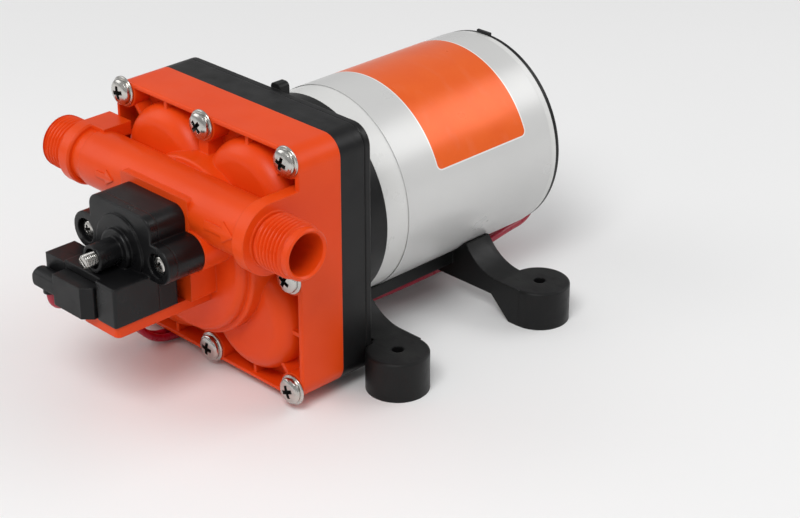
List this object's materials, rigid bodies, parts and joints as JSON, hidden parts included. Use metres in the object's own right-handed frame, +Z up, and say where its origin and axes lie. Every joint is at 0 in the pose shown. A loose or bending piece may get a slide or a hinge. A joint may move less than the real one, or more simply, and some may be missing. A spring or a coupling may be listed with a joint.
{
  "type": "caravan water pump",
  "caption": "Motor driven diaphragm pump on rubber feet, with threaded ports on a moulded head, an adjustable pressure switch on its front and a round motor behind.",
  "frame": {"origin": "centre of the four feet holes, on the floor", "axes": "+X from the inlet port to the outlet port, +Y back from the head along the motor, +Z up"},
  "size_m": [0.1474, 0.2287, 0.1062],
  "materials": {
    "orange_plastic": "moulded, satin",
    "black_plastic": "moulded, fine grain",
    "grey_plastic": "moulded",
    "button_plastic": "moulded",
    "black_rubber": "moulded",
    "bright_steel": "plated",
    "bearing_steel": "ground",
    "can_steel": "plated sheet",
    "core_steel": "stacked sheet",
    "magnet": "sintered",
    "copper": "varnished copper",
    "carbon": "pressed carbon",
    "bronze": "sintered bronze or plated brass",
    "label_film": "white film with an orange panel",
    "red_lead": "smooth insulation"
  },
  "bodies": {
    "pump_body": {"front_housing": "orange_plastic", "diaphragm_housing": "black_plastic", "drive_housing": "black_plastic", "end_cap": "black_plastic", "switch_body": "black_plastic", "switch_cap": "black_plastic", "brush_card": "black_plastic", "valve_plate": "grey_plastic", "microswitch": "grey_plastic", "base_saddle": "black_rubber", "diaphragm": "black_rubber", "chamber_seal": "black_rubber", "inlet_valves": "black_rubber", "outlet_valve": "black_rubber", "switch_diaphragm": "black_rubber", "front_terminal_boot": "black_rubber", "rear_terminal_boot": "black_rubber", "lead_grommet": "black_rubber", "housing_screws": "bright_steel", "screw_washers": "bright_steel", "switch_screws": "bright_steel", "base_screws": "bright_steel", "through_bolts": "bright_steel", "front_bearing_outer_ring": "bearing_steel", "pressure_spring": "bearing_steel", "inlet_side_brush_spring": "bearing_steel", "outlet_side_brush_spring": "bearing_steel", "motor_can": "can_steel", "field_magnets": "magnet", "rear_bush": "bronze", "terminals": "bronze", "motor_label": "label_film", "motor_lead": "red_lead", "supply_lead": "red_lead"},
    "rotor": {"motor_shaft": "bearing_steel", "armature_core": "core_steel", "armature_windings": "copper", "commutator": "copper", "eccentric_bush": "bearing_steel", "wobble_bearing_inner_ring": "bearing_steel", "front_bearing_inner_ring": "bearing_steel"},
    "wobble_drive": {"wobble_plate": "grey_plastic", "wobble_bearing_outer_ring": "bearing_steel", "pistons": "grey_plastic", "piston_screws": "bright_steel"},
    "spring_seat": {"spring_seat": "grey_plastic"},
    "adjusting_screw": {"adjusting_screw": "bright_steel"},
    "switch_plunger": {"switch_plunger": "grey_plastic"},
    "switch_button": {"microswitch_button": "button_plastic"},
    "inlet_side_brush": {"inlet_side_brush": "carbon"},
    "outlet_side_brush": {"outlet_side_brush": "carbon"}
  },
  "joints": [
    {"name": "rotor_spin", "type": "hinge", "parent": "pump_body", "child": "rotor", "pos_m": [0, 0, 0.054], "axis": [0, 1, 0], "continuous": true},
    {"name": "wobble_nutation", "type": "hinge", "parent": "rotor", "child": "wobble_drive", "pos_m": [0, -0.05865, 0.054], "axis": [0, 0.9993, 0.0384], "continuous": true},
    {"name": "seat_slide", "type": "slide", "parent": "pump_body", "child": "spring_seat", "axis": [0, 1, 0], "range_m": [-0.0014, 0.0014], "deforming": ["pressure_spring"]},
    {"name": "adjusting_turn", "type": "hinge", "parent": "spring_seat", "child": "adjusting_screw", "pos_m": [0, -0.1307, 0.0641], "axis": [0, 1, 0], "range_deg": [-720, 720]},
    {"name": "plunger_slide", "type": "slide", "parent": "pump_body", "child": "switch_plunger", "axis": [0, -1, 0], "range_m": [0, 0.0012], "stiffness_N_per_m": 2000, "springref_m": -0.002, "deforming": ["pressure_spring"]},
    {"name": "button_slide", "type": "slide", "parent": "pump_body", "child": "switch_button", "axis": [0, -1, 0], "range_m": [0, 0.0012]},
    {"name": "inlet_brush_slide", "type": "slide", "parent": "pump_body", "child": "inlet_side_brush", "axis": [-1, 0, 0], "range_m": [0, 0.004], "stiffness_N_per_m": 150, "springref_m": -0.012, "deforming": ["inlet_side_brush_spring"]},
    {"name": "outlet_brush_slide", "type": "slide", "parent": "pump_body", "child": "outlet_side_brush", "axis": [1, 0, 0], "range_m": [0, 0.004], "stiffness_N_per_m": 150, "springref_m": -0.012, "deforming": ["outlet_side_brush_spring"]}
  ],
  "couplings": [
    {"joint": "wobble_nutation", "follows": "rotor_spin", "ratio": -1},
    {"joint": "adjusting_turn", "follows": "seat_slide", "rad_per_m": 8976},
    {"joint": "button_slide", "follows": "plunger_slide", "ratio": 1}
  ]
}
